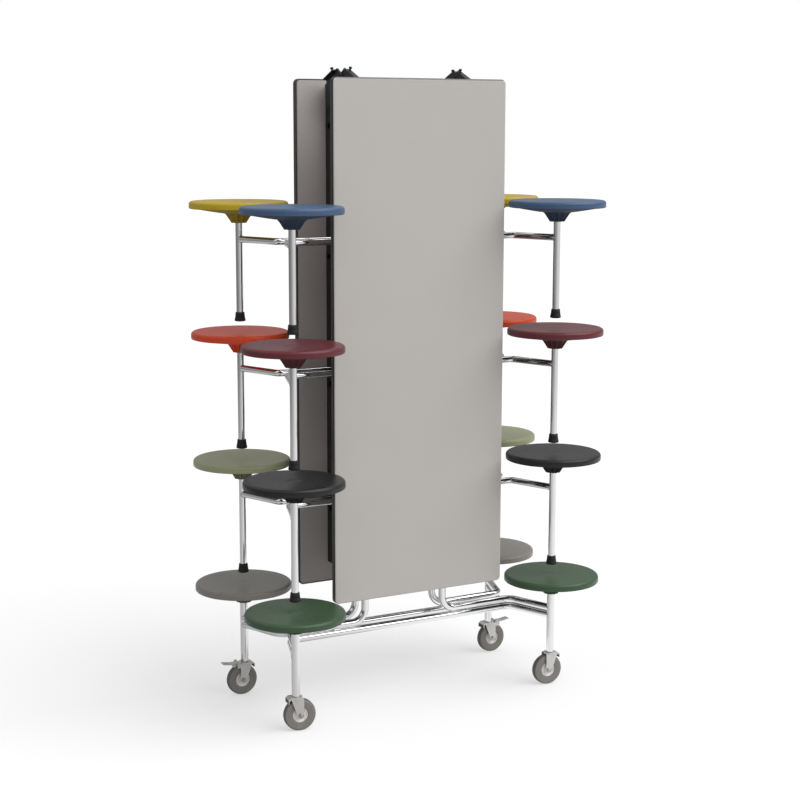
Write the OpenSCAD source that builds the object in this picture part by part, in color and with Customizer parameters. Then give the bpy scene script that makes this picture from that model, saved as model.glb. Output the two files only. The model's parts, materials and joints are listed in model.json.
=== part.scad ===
// Folding canteen table with sixteen fixed stools, shown folded on its four casters.
// X runs along the width of the table top, Y from the front half to the rear half, Z up.
// The origin is on the floor, midway between the four legs. Everything is drawn for the
// rear right quarter and mirrored. Level 1 is the caster level, level 4 the top one.

/* [Table top] */
// Width of the table top, over its edge band
top_w = 600; // [540:1:612]
// Thickness of the laminated board
board_t = 22; // [18:1:26]
// Thickness of the rubber edge band
band_t = 4; // [3:0.5:6]
// Radius of the corners of the table top
corner_r = 15; // [10:1:30]
// Height of the table top above the floor in use
table_h = 646; // [625:1:760]
// Distance between the two undersides when folded
under_gap = 236; // [232:1:240]
// From the outer end of a half to its first stool pivot
outer_end = 246; // [220:1:250]
// From the last stool pivot to the hinged end of a half
hinge_end = 142; // [138:1:160]
// Air between the board and the band around it
band_gap = 0.1; // [0.05:0.05:0.2]

/* [Rails] */
// Half of the distance between the two rails of a half
rail_x = 158; // [156:0.5:160]
// Width of a rail
rail_w = 40; // [36:1:44]
// Depth of a rail below the board
rail_d = 45; // [42:1:48]
// Wall of a rail
rail_wall = 3; // [2:0.5:4]
// Bare board before the rail at the outer end
rail_outer_gap = 66; // [40:1:90]
// Bare board after the rail at the hinged end
rail_hinge_gap = 15; // [12:1:20]

/* [Stool pivots] */
// Distance from the underside of the board to a stool pivot
pivot_drop = 20; // [18:0.5:22]
// Diameter of a pivot bolt
bolt_d = 10; // [8:1:12]
// Diameter of a pivot bolt's head and nut
bolt_head_d = 18; // [15:1:18]
// Height of a pivot bolt's head and nut
bolt_head_h = 6; // [4:0.5:6]
// Radial running clearance of pins and bolts
run_gap = 0.05; // [0.03:0.01:0.1]
// Side clearance between plates that turn against each other
side_gap = 0.5; // [0.4:0.1:0.8]
// Thickness of the welded head plates and hinge plates
plate_t = 5; // [4:0.5:6]

/* [Centre hinge] */
// Height of the hinge pin above the hinged ends of the boards
pin_rise = 1; // [1:0.5:3]
// Diameter of a hinge pin
pin_d = 12; // [10:0.5:14]
// Reach of a hinge plate from the centre plane
cheek_reach = 91; // [85:1:95]
// Distance from the centre plane to a hinge plate's peak
peak_y = 19; // [17:1:21]
// Height of a hinge plate's peak above the boards
peak_rise = 30; // [27:1:32]
// Radius of a hinge plate round its pin
pin_eye_r = 15; // [14:0.5:16]
// How far a hinge plate reaches down along the rail
cheek_drop = 70; // [50:1:80]
// Width of the flange bent from a hinge plate's slope
flange_w = 16; // [14:1:18]
// Thickness of that flange
flange_t = 4; // [3:0.5:5]
// How far below its plate's peak that flange ends
flange_short = 8; // [4:1:8]
// Distance of a stop bolt from the centre plane
stop_y = 38; // [34:1:42]
// Diameter of a stop bolt's head
stop_head_d = 10; // [9:1:12]
// Diameter of a stop bolt's shank
stop_d = 6; // [5:1:8]
// Height of a stop bolt's head
stop_head_h = 5; // [4:0.5:7]
// How far a stop bolt's head stands off the slope
stop_stand = 6; // [3:0.5:8]

/* [Stool frames] */
// Air between a seat and the foot of the stool above it when folded
stack_gap = 30; // [28:1:60]
// Outer diameter of the caster frames' tubes and of all uprights
tube_d = 25; // [24:0.5:26]
// Outer diameter of the plain stools' legs
leg_d = 22; // [21.5:0.1:23]
// Outer diameter of the plain stools' cross tubes
arm_d = 21.3; // [20:0.1:21.4]
// Distance of a leg from the centre in X
leg_x = 462; // [460:1:480]
// Distance of a leg from the centre plane in Y
leg_y = 193; // [190:1:200]
// Distance of the cross tubes from the centre plane
arm_y = 34; // [32:1:36]
// Where the cross tubes turn towards the legs
arm_bend_x = 405; // [395:1:415]
// Height of the cross tubes above the foot of their stool
arm_z = 256; // [246:1:266]
// Centre line radius of the bend in a plain cross tube
arm_bend_r = 16; // [14:1:20]
// Centre line radius of the outer bends in a caster frame
caster_bend_r = 45; // [35:1:55]
// Centre line radius of the bend up into an upright
upright_bend_r = 44; // [36:1:48]
// Distance of the uprights from the centre in X
upright_x = 142; // [141:0.5:143]
// Air between an upright and the board that bears on it in use
upright_gap = 2; // [1:0.5:4]
// How far welded tubes sink into each other
weld = 0.5; // [0.3:0.1:1]

/* [Parallel links] */
// Distance of a link pivot from the centre plane
link_y = 65; // [62:1:68]
// How far a link pivot lies below its stool pivot
link_drop = 60; // [56:1:64]
// Half of the distance between the inner faces of a half's link bars
link_x = 118; // [114:1:119]
// Width of a link bar
link_w = 20; // [16:1:22]
// Thickness of a link bar
link_t = 6; // [5:0.5:7]
// Diameter of a link pin
link_pin_d = 8; // [6:0.5:10]
// Thickness of a link lug
lug_t = 6; // [5.5:0.5:6.5]

/* [Seats] */
// Height of the lowest seats above the floor
seat_h = 374; // [360:1:440]
// Diameter of a seat
seat_d = 305; // [290:1:306]
// Height of a seat's rim
seat_rim_h = 23; // [20:0.5:26]
// Radius of a seat's upper edge
seat_edge_r = 10; // [9:0.5:12]
// Depth of a seat's underside at the hub
seat_cone_h = 40; // [36:1:44]
// Depth of a seat and its hub
seat_hub_h = 67.5; // [62:0.5:72]
// Radius of the hub's ribs where they leave the seat
hub_top_r = 44; // [40:1:48]
// Radius of the hub's ribs at their lower end
hub_low_r = 23; // [21:0.5:26]
// Radius of the hub's core
hub_core_r = 18.5; // [17.5:0.5:20]
// Number of ribs round a hub
hub_ribs = 12; // [8:1:16]
// Thickness of a rib
hub_rib_t = 3; // [2:0.5:4]
// Depth of the dish in a seat
seat_dish = 3; // [2:0.5:5]
// Radius of the dimple in the middle of a seat
dimple_r = 19; // [15:1:24]
// Depth of that dimple
dimple_h = 2; // [1:0.5:3]
// Depth of a leg in its seat
seat_socket = 50; // [40:1:52]
// Clearance round a leg in its seat or its foot
socket_gap = 0.1; // [0.05:0.05:0.2]

/* [Feet] */
// Height of a rubber foot
foot_h = 28.6; // [24:0.2:32]
// Diameter of a foot at the top
foot_top_d = 26; // [25:0.5:28]
// Diameter of a foot at the floor
foot_low_d = 33; // [31:0.5:33]
// Rubber under a leg
foot_floor = 7; // [5:0.5:9]

/* [Casters] */
// Diameter of a caster wheel
wheel_d = 100; // [96:1:101]
// Width of a tyre
tread_w = 24; // [20:1:26]
// Diameter of a wheel's hub
hub_d = 47; // [40:1:56]
// Distance of an axle behind its swivel axis
trail = 11; // [9:1:15]
// Diameter of an axle
axle_d = 8; // [6:1:10]
// Clear width inside a fork
fork_gap = 30; // [29:0.5:32]
// Thickness of a fork's plates
fork_t = 2.5; // [2:0.5:3]
// Thickness of a fork's crown
crown_t = 5; // [4:0.5:5.5]
// Radius of a fork's crown round its stem
crown_r = 20; // [18:0.5:21]
// Height of a fork above the floor
fork_h = 107.5; // [107:0.1:110]
// Diameter of a caster's stem
stem_d = 11; // [9:0.5:12]
// Length of a caster's stem
stem_l = 50; // [40:1:60]
// Width of a brake pedal
pedal_w = 24; // [20:1:26]

/* [Hidden] */
$fn = 48;

SIDES = ["front", "rear"];
WINGS = ["left", "right"];
LEVELS = [1, 2, 3, 4];
UPPER_LEVELS = [2, 3, 4];
top_level = 4;
// Overrun of cuts
cut = 1;

// Colours of the seats, from level 1 up
front_seat_colours = ["#415A46", "#2D2D30", "#62343C", "#4B5F82"];
rear_seat_colours = ["#736C67", "#828764", "#C85028", "#B09A35"];
function seat_colour(side, level) = (side == "front" ? front_seat_colours : rear_seat_colours)[level - 1];

// Heights of the table half when folded
pivot_z = table_h - board_t - pivot_drop;
upright_top = table_h - board_t - upright_gap;
// Vertical distance between stools when folded, and their spacing in use: a seat clears the
// foot above it, and an upright the cross tube above it
pitch = max(seat_h + stack_gap, upright_top - arm_z + (arm_d + stack_gap) / 2);
top_z = pivot_z + (top_level - 1) * pitch + hinge_end;
bottom_z = pivot_z - outer_end;
under_y = under_gap / 2;
pivot_y = under_y - pivot_drop;
link_z = pivot_z - link_drop;
function lift(level) = (level - 1) * pitch;

// Faces of the rails and of the plates beside them
rail_out_x = rail_x + rail_w;
head_x = rail_x - side_gap - plate_t;
lug_x = link_x + link_t + side_gap;
rear_cheek_x = rail_out_x + plate_t + side_gap;
pin_z = top_z + pin_rise;

// Keeps what is drawn on the rear half, or mirrors it to the front half
module on_half(side) {
    if (side == "front") mirror([0, 1, 0]) children();
    else children();
}

// Keeps what is drawn on the right, or mirrors it to the left
module on_wing(wing) {
    if (wing == "left") mirror([1, 0, 0]) children();
    else children();
}

// Raises what is drawn on level 1 to another level
module on_level(level) translate([0, 0, lift(level)]) children();

// Extrudes an outline of (Y, Z) points along X, from x for a thickness
module yz_plate(x, thickness) translate([x, 0, 0]) rotate([90, 0, 90]) linear_extrude(thickness) children();

// Extrudes an outline of (X, Z) points along Y, centred on the X axis
module xz_plate(width) rotate([90, 0, 0]) linear_extrude(width, center = true) children();

// Round bar from one point to another
module rod(from, to, d) {
    run = to - from;
    length = norm(run);
    translate(from) rotate([0, acos(run.z / length), atan2(run.y, run.x)]) cylinder(d = d, h = length);
}

// Table top: board inside its band, standing on its outer end

module top_outline(inset) {
    w = top_w - 2 * inset;
    h = top_z - bottom_z - 2 * inset;
    r = corner_r - inset;
    translate([0, bottom_z + inset]) {
        translate([-w / 2, r]) square([w, h - 2 * r]);
        translate([r - w / 2, 0]) square([w - 2 * r, h]);
        for (x = [r - w / 2, w / 2 - r], z = [r, h - r]) translate([x, z]) circle(r);
    }
}

// Extrudes an outline of (X, Z) points from the underside of a board outwards
module board_plate() {
    translate([0, under_y + board_t, 0]) rotate([90, 0, 0]) linear_extrude(board_t) children();
}

module tabletop(side) {
    color("#B2AEAA") on_half(side) board_plate() top_outline(band_t + band_gap);
}

module edge_band(side) {
    color("#222120") on_half(side) board_plate() difference() {
        top_outline(0);
        top_outline(band_t);
    }
}

// Rails: two channels screwed to the underside, open towards the centre plane

rail_bottom = bottom_z + rail_outer_gap;
rail_top = top_z - rail_hinge_gap;
rail_y = under_y - rail_d;

module rails(side) {
    color("#1E1E1F") on_half(side) for (wing = WINGS) on_wing(wing) difference() {
        translate([rail_x, rail_y, rail_bottom]) cube([rail_w, rail_d, rail_top - rail_bottom]);
        translate([rail_x + rail_wall, rail_y - cut, rail_bottom - cut])
            cube([rail_w - 2 * rail_wall, rail_d - rail_wall + cut, rail_top - rail_bottom + 2 * cut]);
        for (level = LEVELS) on_level(level) translate([rail_x - cut, pivot_y, pivot_z])
            rotate([0, 90, 0]) cylinder(d = bolt_d + 2 * socket_gap, h = rail_w + 2 * cut);
    }
}

// Pivot bolts: through both walls of a rail and the head plate of a stool frame

module pivot_bolts(side) {
    inner_x = head_x - side_gap;
    color("#8F9092") on_half(side) for (wing = WINGS, level = LEVELS)
        on_wing(wing) on_level(level) translate([0, pivot_y, pivot_z]) rotate([0, 90, 0]) {
            translate([0, 0, inner_x]) cylinder(d = bolt_d, h = rail_out_x - inner_x);
            translate([0, 0, rail_out_x]) cylinder(d = bolt_head_d, h = bolt_head_h);
            translate([0, 0, inner_x - bolt_head_h]) cylinder(d = bolt_head_d, h = bolt_head_h, $fn = 6);
        }
}

// Centre hinge: cheek plates on the outer sides of the rails, turning on one pin each side

slope_a = atan2(peak_rise, cheek_reach - peak_y);

// Cheek plate outline in (Y, Z), its bore left out
module cheek_outline() {
    polygon([
        [rail_y, rail_top - cheek_drop], [cheek_reach, rail_top - cheek_drop], [cheek_reach, top_z],
        [peak_y, top_z + peak_rise], [-pin_eye_r / 2, pin_z + pin_eye_r * sin(60)],
        [0, pin_z], [0, pin_z - pin_eye_r],
    ]);
    translate([0, pin_z]) circle(pin_eye_r);
}

// Flange under a cheek's slope, from one X over a width
module slope_flange(x, width) {
    corner = [cheek_reach, top_z];
    end = [peak_y, top_z + peak_rise] + flange_short * [cos(slope_a), -sin(slope_a)];
    inwards = -flange_t * [sin(slope_a), cos(slope_a)];
    yz_plate(x, width) polygon([corner, end, end + inwards, corner + inwards]);
}

// Where a stop bolt stands on the slope, pointing out of it
module at_stop(x) {
    along = (cheek_reach - stop_y) / cos(slope_a);
    translate([x, cheek_reach, top_z]) rotate([-slope_a, 0, 0]) translate([0, -along, 0]) children();
}

front_flange_x = rail_out_x + plate_t - flange_w;
front_stop_x = front_flange_x + (flange_w - plate_t) / 2;
rear_stop_x = rear_cheek_x + (flange_w + plate_t) / 2;
function stop_x(side) = side == "front" ? front_stop_x : rear_stop_x;

module stop_hole(side) {
    at_stop(stop_x(side)) translate([0, 0, -flange_t - cut])
        cylinder(d = stop_d + 2 * socket_gap, h = flange_t + 2 * cut);
}

module front_hinge_plates() {
    color("#1B1B1C") on_half("front") for (wing = WINGS) on_wing(wing) difference() {
        union() {
            yz_plate(rail_out_x, plate_t) cheek_outline();
            slope_flange(front_flange_x, flange_w - plate_t / 2);
        }
        translate([rail_out_x - cut, 0, pin_z]) rotate([0, 90, 0])
            cylinder(d = pin_d + 2 * socket_gap, h = plate_t + 2 * cut);
        stop_hole("front");
    }
}

module rear_hinge_plates() {
    color("#1B1B1C") on_half("rear") for (wing = WINGS) on_wing(wing) difference() {
        union() {
            yz_plate(rear_cheek_x, plate_t) cheek_outline();
            slope_flange(rear_cheek_x + plate_t / 2, flange_w - plate_t / 2);
            // Packing piece between the rail and the cheek
            translate([rail_out_x, rail_y, rail_top - cheek_drop])
                cube([rear_cheek_x - rail_out_x + weld, cheek_reach - rail_y, cheek_drop]);
        }
        translate([rear_cheek_x - cut, 0, pin_z]) rotate([0, 90, 0])
            cylinder(d = pin_d + 2 * run_gap, h = plate_t + 2 * cut);
        stop_hole("rear");
    }
}

module hinge_pins() {
    head_h = bolt_head_h / 2;
    inner_x = rail_out_x - side_gap;
    outer_x = rear_cheek_x + plate_t + side_gap;
    color("#8F9092") for (wing = WINGS) on_wing(wing) translate([0, 0, pin_z]) rotate([0, 90, 0]) {
        translate([0, 0, inner_x]) cylinder(d = pin_d, h = outer_x - inner_x);
        translate([0, 0, outer_x]) cylinder(d = bolt_head_d, h = head_h);
        translate([0, 0, inner_x - head_h]) cylinder(d = bolt_head_d, h = head_h);
    }
}

module stop_bolts(side) {
    nut_h = bolt_head_h / 2;
    color("#6F7072") on_half(side) for (wing = WINGS) on_wing(wing) at_stop(stop_x(side)) {
        translate([0, 0, -flange_t]) cylinder(d = stop_d, h = flange_t);
        cylinder(d = stop_d, h = stop_stand + weld);
        translate([0, 0, stop_stand]) rotate([0, 0, 30]) cylinder(d = stop_head_d, h = stop_head_h, $fn = 6);
        translate([0, 0, -flange_t - nut_h]) rotate([0, 0, 30])
            cylinder(d = stop_head_d, h = nut_h, $fn = 6);
    }
}

// Parallel links: flat bars that keep the stool frames upright while the table folds

module link_bars(side) {
    run = lift(top_level);
    pin_end = lug_x + lug_t + side_gap;
    rivet_h = link_t / 2;
    color("#8C8D8E") on_half(side) for (wing = WINGS) on_wing(wing) {
        translate([link_x, link_y, link_z]) {
            translate([0, -link_w / 2, 0]) cube([link_t, link_w, run]);
            for (z = [0, run]) translate([0, 0, z]) rotate([0, 90, 0]) cylinder(d = link_w, h = link_t);
        }
        for (level = LEVELS) on_level(level) translate([0, link_y, link_z]) rotate([0, 90, 0]) {
            translate([0, 0, link_x]) cylinder(d = link_pin_d, h = pin_end - link_x);
            translate([0, 0, pin_end]) cylinder(d = link_pin_d + 2 * rivet_h, h = rivet_h);
        }
    }
}

// Stool frames: bent tube, one leg at each end, two uprights that carry the table half

arm_turn = atan2(leg_y - arm_y, leg_x - arm_bend_x);

// A straight tube runs a little into its bend, and is this much slimmer to end inside it
bend_lap = 0.5;
bend_slack = 0.1;
function straight_end(bend_r) = arm_bend_x - bend_r * tan(arm_turn / 2);

// Outer bend of a cross tube and the arm from there to the leg
module outer_arm(z, d, bend_r) {
    along = [cos(arm_turn), sin(arm_turn), 0];
    after = [arm_bend_x, arm_y, z] + (bend_r * tan(arm_turn / 2) - bend_lap) * along;
    translate([straight_end(bend_r), arm_y + bend_r, z]) rotate([0, 0, -90])
        rotate_extrude(angle = arm_turn) translate([bend_r, 0]) circle(d = d);
    rod(after, [leg_x, leg_y, z], d - bend_slack);
}

// Bend from a cross tube up into an upright
module upright_bend() {
    translate([upright_x + upright_bend_r, arm_y, arm_z + upright_bend_r]) rotate([90, 0, 0])
        rotate([0, 0, 180]) rotate_extrude(angle = 90) translate([upright_bend_r, 0]) circle(d = tube_d);
}

module upright(from_z) {
    translate([upright_x, arm_y, from_z]) cylinder(d = tube_d - bend_slack, h = upright_top - from_z);
}

// Head plate with the bore for a pivot bolt, welded to the outer side of an upright
head_eye_r = 14;
head_weld_share = 0.6;
module head_plate() {
    low = upright_top - 2 * head_eye_r / head_weld_share;
    yz_plate(head_x, plate_t) difference() {
        union() {
            polygon([
                [arm_y, low], [pivot_y, pivot_z - head_eye_r],
                [pivot_y, pivot_z + head_eye_r], [arm_y, upright_top],
            ]);
            translate([pivot_y, pivot_z]) circle(head_eye_r);
        }
        translate([pivot_y, pivot_z]) circle(d = bolt_d + 2 * run_gap);
    }
}

// Lug with the bore for a link pin, welded to the inner side of an upright
module link_lug() {
    eye_r = link_w / 2;
    yz_plate(lug_x, lug_t) difference() {
        union() {
            translate([arm_y, link_z - eye_r]) square([link_y - arm_y, 2 * eye_r]);
            translate([link_y, link_z]) circle(eye_r);
        }
        translate([link_y, link_z]) circle(d = link_pin_d + 2 * run_gap);
    }
}

leg_top = seat_h - seat_hub_h + seat_socket;
caster_leg_bottom = fork_h + side_gap;

module caster_frame() {
    d = tube_d - weld;
    low_z = arm_z - d + weld;
    low_end = straight_end(caster_bend_r) + bend_lap;
    bent_x = upright_x + upright_bend_r;
    rod([-low_end, arm_y, low_z], [low_end, arm_y, low_z], d - bend_slack);
    for (wing = WINGS) on_wing(wing) difference() {
        union() {
            translate([leg_x, leg_y, caster_leg_bottom])
                cylinder(d = tube_d, h = leg_top - caster_leg_bottom);
            outer_arm(low_z, d, caster_bend_r);
            outer_arm(arm_z, d, caster_bend_r);
            rod([bent_x - bend_lap, arm_y, arm_z], [low_end, arm_y, arm_z], d - bend_slack);
            upright_bend();
            upright(arm_z + upright_bend_r - bend_lap);
            head_plate();
            link_lug();
        }
        translate([leg_x, leg_y, caster_leg_bottom - cut])
            cylinder(d = stem_d + 2 * run_gap, h = stem_l + side_gap + 2 * cut);
    }
}

module plain_frame() {
    end = straight_end(arm_bend_r) + bend_lap;
    rod([-end, arm_y, arm_z], [end, arm_y, arm_z], arm_d - bend_slack);
    for (wing = WINGS) on_wing(wing) {
        translate([leg_x, leg_y, foot_floor]) cylinder(d = leg_d, h = leg_top - foot_floor);
        outer_arm(arm_z, arm_d, arm_bend_r);
        upright(arm_z);
        head_plate();
        link_lug();
    }
}

module stool_frame(side, level) {
    color("#C9CBCD") on_half(side) on_level(level) {
        if (level == 1) caster_frame();
        else plain_frame();
    }
}

// Seats: moulded discs with a dish, a ribbed hub and a blind socket for the leg

// Points of a quarter or part arc round a centre, in (radius, height)
function arc(centre, r, from, to, steps) =
    [for (i = [0:steps]) let (a = from + (to - from) * i / steps) centre + r * [cos(a), sin(a)]];

seat_r = seat_d / 2;
seat_low_r = 3;
dish_r = seat_r - 2 * seat_edge_r;
dish_steps = 6;
dish_points = [for (i = [0:dish_steps]) let (share = i / dish_steps)
    [dimple_r + (dish_r - dimple_r) * share, -seat_dish * (1 + cos(180 * share)) / 2]];

function seat_profile(bore_r) = concat(
    [[0, -seat_dish - dimple_h], [dimple_r - dimple_h, -seat_dish - dimple_h]],
    dish_points,
    arc([seat_r - seat_edge_r, -seat_edge_r], seat_edge_r, 90, 0, 5),
    arc([seat_r - seat_low_r, seat_low_r - seat_rim_h], seat_low_r, 0, -90, 3),
    [[hub_top_r, -seat_cone_h], [hub_core_r, -seat_cone_h], [hub_core_r, -seat_hub_h],
     [bore_r, -seat_hub_h], [bore_r, seat_socket - seat_hub_h + side_gap],
     [0, seat_socket - seat_hub_h + side_gap]]
);

module hub_rib() {
    inside = hub_rib_t;
    xz_plate(hub_rib_t) polygon([
        [hub_core_r - hub_rib_t / 2, inside - seat_cone_h], [hub_top_r - inside, inside - seat_cone_h],
        [hub_top_r, -seat_cone_h], [hub_low_r, weld - seat_hub_h],
        [hub_core_r - hub_rib_t / 2, weld - seat_hub_h],
    ]);
}

module seat(side, wing, level) {
    bore_r = (level == 1 ? tube_d : leg_d) / 2 + socket_gap;
    color(seat_colour(side, level)) on_half(side) on_wing(wing) on_level(level)
        translate([leg_x, leg_y, seat_h]) {
            rotate_extrude() polygon(seat_profile(bore_r));
            for (i = [1:hub_ribs]) rotate([0, 0, i * 360 / hub_ribs]) hub_rib();
        }
}

// Feet: black rubber cups on the legs of the plain stools

module feet(side, level) {
    bore_r = leg_d / 2 + socket_gap;
    color("#1D1D1E") on_half(side) on_level(level) for (wing = WINGS) on_wing(wing)
        translate([leg_x, leg_y, 0]) rotate_extrude() polygon([
            [0, 0], [foot_low_d / 2 - weld, 0], [foot_low_d / 2, weld], [foot_top_d / 2, foot_h - weld],
            [foot_top_d / 2 - weld, foot_h], [bore_r, foot_h], [bore_r, foot_floor - socket_gap],
            [0, foot_floor - socket_gap],
        ]);
}

// Casters: pressed fork on a stem, drawn trailing towards +X with the stem at the origin

// Direction in which each caster trails at rest, in degrees round Z
trail_angles = [["front_left", -8], ["front_right", 175], ["rear_left", 180], ["rear_right", 0]];
function trail_angle(corner) = [for (entry = trail_angles) if (entry[0] == corner) entry[1]][0];

module at_caster(side, wing) {
    translate([(wing == "left" ? -1 : 1) * leg_x, (side == "front" ? -1 : 1) * leg_y, 0])
        rotate([0, 0, trail_angle(str(side, "_", wing))]) children();
}

axle_z = wheel_d / 2;
fork_w = fork_gap + 2 * fork_t;
crown_low = fork_h - crown_t;
axle_eye_r = 10;
// How far a fork's side plates and its front lip lie ahead of the stem
plate_lead = 20;
lip_lead = 28;
lip_h = 18;
// How far the crown bends down to the top of the lip
lip_dip = 6;

// Where the line from a point touches a circle, on the circle's lower left
function touch(from, centre, r) =
    let (run = centre - from, a = atan2(run.y, run.x) - asin(r / norm(run)) - 90)
    centre + r * [cos(a), sin(a)];

module fork_side() {
    axle = [trail, axle_z];
    corner = [-plate_lead, crown_low + crown_t / 2];
    polygon([
        corner, touch(corner, axle, axle_eye_r), axle,
        [trail + axle_eye_r, axle_z], [trail + axle_eye_r, corner.y],
    ]);
    translate(axle) circle(axle_eye_r);
}

// Pin of a brake pedal, behind the crown, and the ears that hold it
pedal_pin_d = 6;
pedal_pin_back = 15;
pedal_pin_drop = 1.5;
pedal_pin = [trail + pedal_pin_back, fork_h - pedal_pin_drop];
pedal_eye_r = 6;
pedal_ear_low = 8;

module pedal_ear() {
    low = axle_z + wheel_d / 2 - pedal_ear_low;
    polygon([[trail, low], [pedal_pin.x + pedal_eye_r, low], [pedal_pin.x + pedal_eye_r, pedal_pin.y],
        [trail, fork_h - crown_t / 2]]);
    translate(pedal_pin) circle(pedal_eye_r);
}

// Crown plate and the lip bent down from it, in (X, Z)
module crown_outline() {
    polygon([
        [-lip_lead, fork_h - lip_h], [-lip_lead, fork_h - lip_dip], [-plate_lead, fork_h],
        [crown_r / 2, fork_h], [crown_r / 2, crown_low], [-plate_lead, crown_low],
        [fork_t - lip_lead, crown_low - lip_dip], [fork_t - lip_lead, fork_h - lip_h],
    ]);
}

module fork_plate_pair() {
    for (y = [-1, 1]) translate([0, y * (fork_gap + fork_t) / 2, 0]) xz_plate(fork_t) children();
}

module fork(side, wing) {
    color("#B9BABA") at_caster(side, wing) {
        cylinder_at = fork_h - crown_t / 2;
        translate([0, 0, cylinder_at]) cylinder(d = stem_d, h = stem_l + fork_h - cylinder_at);
        translate([0, 0, crown_low]) cylinder(r = crown_r, h = crown_t);
        xz_plate(fork_w) crown_outline();
        fork_plate_pair() fork_side();
        translate([trail, 0, axle_z]) rotate([90, 0, 0])
            cylinder(d = axle_d, h = fork_w + 2 * fork_t, center = true);
        if (side == "rear") {
            fork_plate_pair() pedal_ear();
            translate([pedal_pin.x, 0, pedal_pin.y]) rotate([90, 0, 0])
                cylinder(d = pedal_pin_d, h = fork_w + fork_t, center = true);
        }
    }
}

// Tyre and hub, drawn round the origin with the axle along Z

tyre_edge_r = 6;
tyre_low_r = hub_d / 2 + socket_gap;

module tyre(side, wing) {
    r = wheel_d / 2;
    h = tread_w / 2;
    color("#73706D") at_caster(side, wing) translate([trail, 0, axle_z]) rotate([90, 0, 0])
        rotate_extrude($fn = 72) polygon(concat(
            [[tyre_low_r, -h + fork_t], [tyre_low_r + fork_t, -h]],
            arc([r - tyre_edge_r, tyre_edge_r - h], tyre_edge_r, -90, 0, 4),
            arc([r - tyre_edge_r, h - tyre_edge_r], tyre_edge_r, 0, 90, 4),
            [[tyre_low_r + fork_t, h], [tyre_low_r, h - fork_t]]
        ));
}

boss_r = 9;
module wheel_hub(side, wing) {
    r = hub_d / 2;
    h = tread_w / 2 - fork_t;
    web = h / 2;
    lip_r = r - fork_t;
    bore_r = axle_d / 2 + run_gap;
    boss_h = fork_gap / 2 - side_gap;
    color("#D5D5D6") at_caster(side, wing) translate([trail, 0, axle_z]) rotate([90, 0, 0])
        rotate_extrude() polygon([
            [bore_r, -boss_h], [boss_r, -boss_h], [boss_r + fork_t, -web], [lip_r - fork_t, -web],
            [lip_r, -h], [r, -h], [r, h], [lip_r, h],
            [lip_r - fork_t, web], [boss_r + fork_t, web], [boss_r, boss_h], [bore_r, boss_h],
        ]);
}

// Brake pedal: pressed lever over the wheel, with a shoe that stops the tyre
pedal_t = 3.5;
pedal_reach = 67;
pedal_rise = 6;
pedal_bend_share = 0.42;
shoe_gap = 1.8;
shoe_from = 12;
shoe_l = 18;
shoe_low = 43;

module lever_outline() {
    start = pedal_pin + [0, pedal_t / 2];
    bend = pedal_pin + [pedal_bend_share * (pedal_reach - trail), 0];
    tip = [pedal_reach + trail, pedal_pin.y + pedal_rise];
    polygon([
        start, bend + [0, pedal_t / 2], tip,
        tip - [0, pedal_t], bend - [0, pedal_t / 2], start - [0, pedal_t],
    ]);
    translate(pedal_pin) circle(pedal_eye_r - weld);
}

module shoe_outline() {
    difference() {
        translate([trail + shoe_from, axle_z + shoe_low]) square([shoe_l, pedal_pin.y - axle_z - shoe_low]);
        translate([trail, axle_z]) circle(wheel_d / 2 + shoe_gap, $fn = 96);
    }
}

module brake_pedal(wing) {
    color("#9A9B9B") at_caster("rear", wing) difference() {
        union() {
            xz_plate(pedal_w) lever_outline();
            xz_plate(pedal_w - pedal_t) shoe_outline();
        }
        translate([pedal_pin.x, 0, pedal_pin.y]) rotate([90, 0, 0])
            cylinder(d = pedal_pin_d + 2 * run_gap, h = pedal_w + 2 * cut, center = true);
    }
}

hinge_pins();
front_hinge_plates();
rear_hinge_plates();
for (side = SIDES) {
    tabletop(side);
    edge_band(side);
    rails(side);
    pivot_bolts(side);
    stop_bolts(side);
    link_bars(side);
    for (level = LEVELS) stool_frame(side, level);
    for (level = UPPER_LEVELS) feet(side, level);
    for (wing = WINGS) {
        corner = str(side, "_", wing);
        for (level = LEVELS)
            seat(side, wing, level);
        fork(side, wing);
        tyre(side, wing);
        wheel_hub(side, wing);
    }
}
for (wing = WINGS) brake_pedal(wing);
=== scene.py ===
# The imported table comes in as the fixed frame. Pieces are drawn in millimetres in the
# table's frame, floor at Z 0, and turned into metres as they are added.
import json
import math

import bmesh
import bpy
from mathutils import Matrix, Vector


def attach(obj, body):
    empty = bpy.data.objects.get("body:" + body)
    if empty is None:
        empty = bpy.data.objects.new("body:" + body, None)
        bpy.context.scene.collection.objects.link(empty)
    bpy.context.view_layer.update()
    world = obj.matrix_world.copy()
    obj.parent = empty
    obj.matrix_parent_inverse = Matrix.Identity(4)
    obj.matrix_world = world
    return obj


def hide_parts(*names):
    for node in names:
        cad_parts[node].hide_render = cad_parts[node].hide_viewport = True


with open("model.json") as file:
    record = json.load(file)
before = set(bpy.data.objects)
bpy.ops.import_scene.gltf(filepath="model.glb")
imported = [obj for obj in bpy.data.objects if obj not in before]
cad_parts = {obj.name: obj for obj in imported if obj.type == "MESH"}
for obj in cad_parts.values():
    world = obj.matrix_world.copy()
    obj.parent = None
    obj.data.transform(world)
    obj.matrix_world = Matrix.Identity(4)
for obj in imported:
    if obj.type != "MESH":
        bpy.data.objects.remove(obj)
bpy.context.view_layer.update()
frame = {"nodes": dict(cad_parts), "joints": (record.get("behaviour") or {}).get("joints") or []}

# Camera: a plain lens at eye height, in front of the folded table and to its left.
# Its place and turn were solved from about forty edges of the pieces.
camera_yaw, camera_pitch, camera_roll = (math.radians(a) for a in (28.852, 9.303, -0.121))
camera_level = Vector((math.cos(camera_yaw), -math.sin(camera_yaw), 0))
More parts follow.
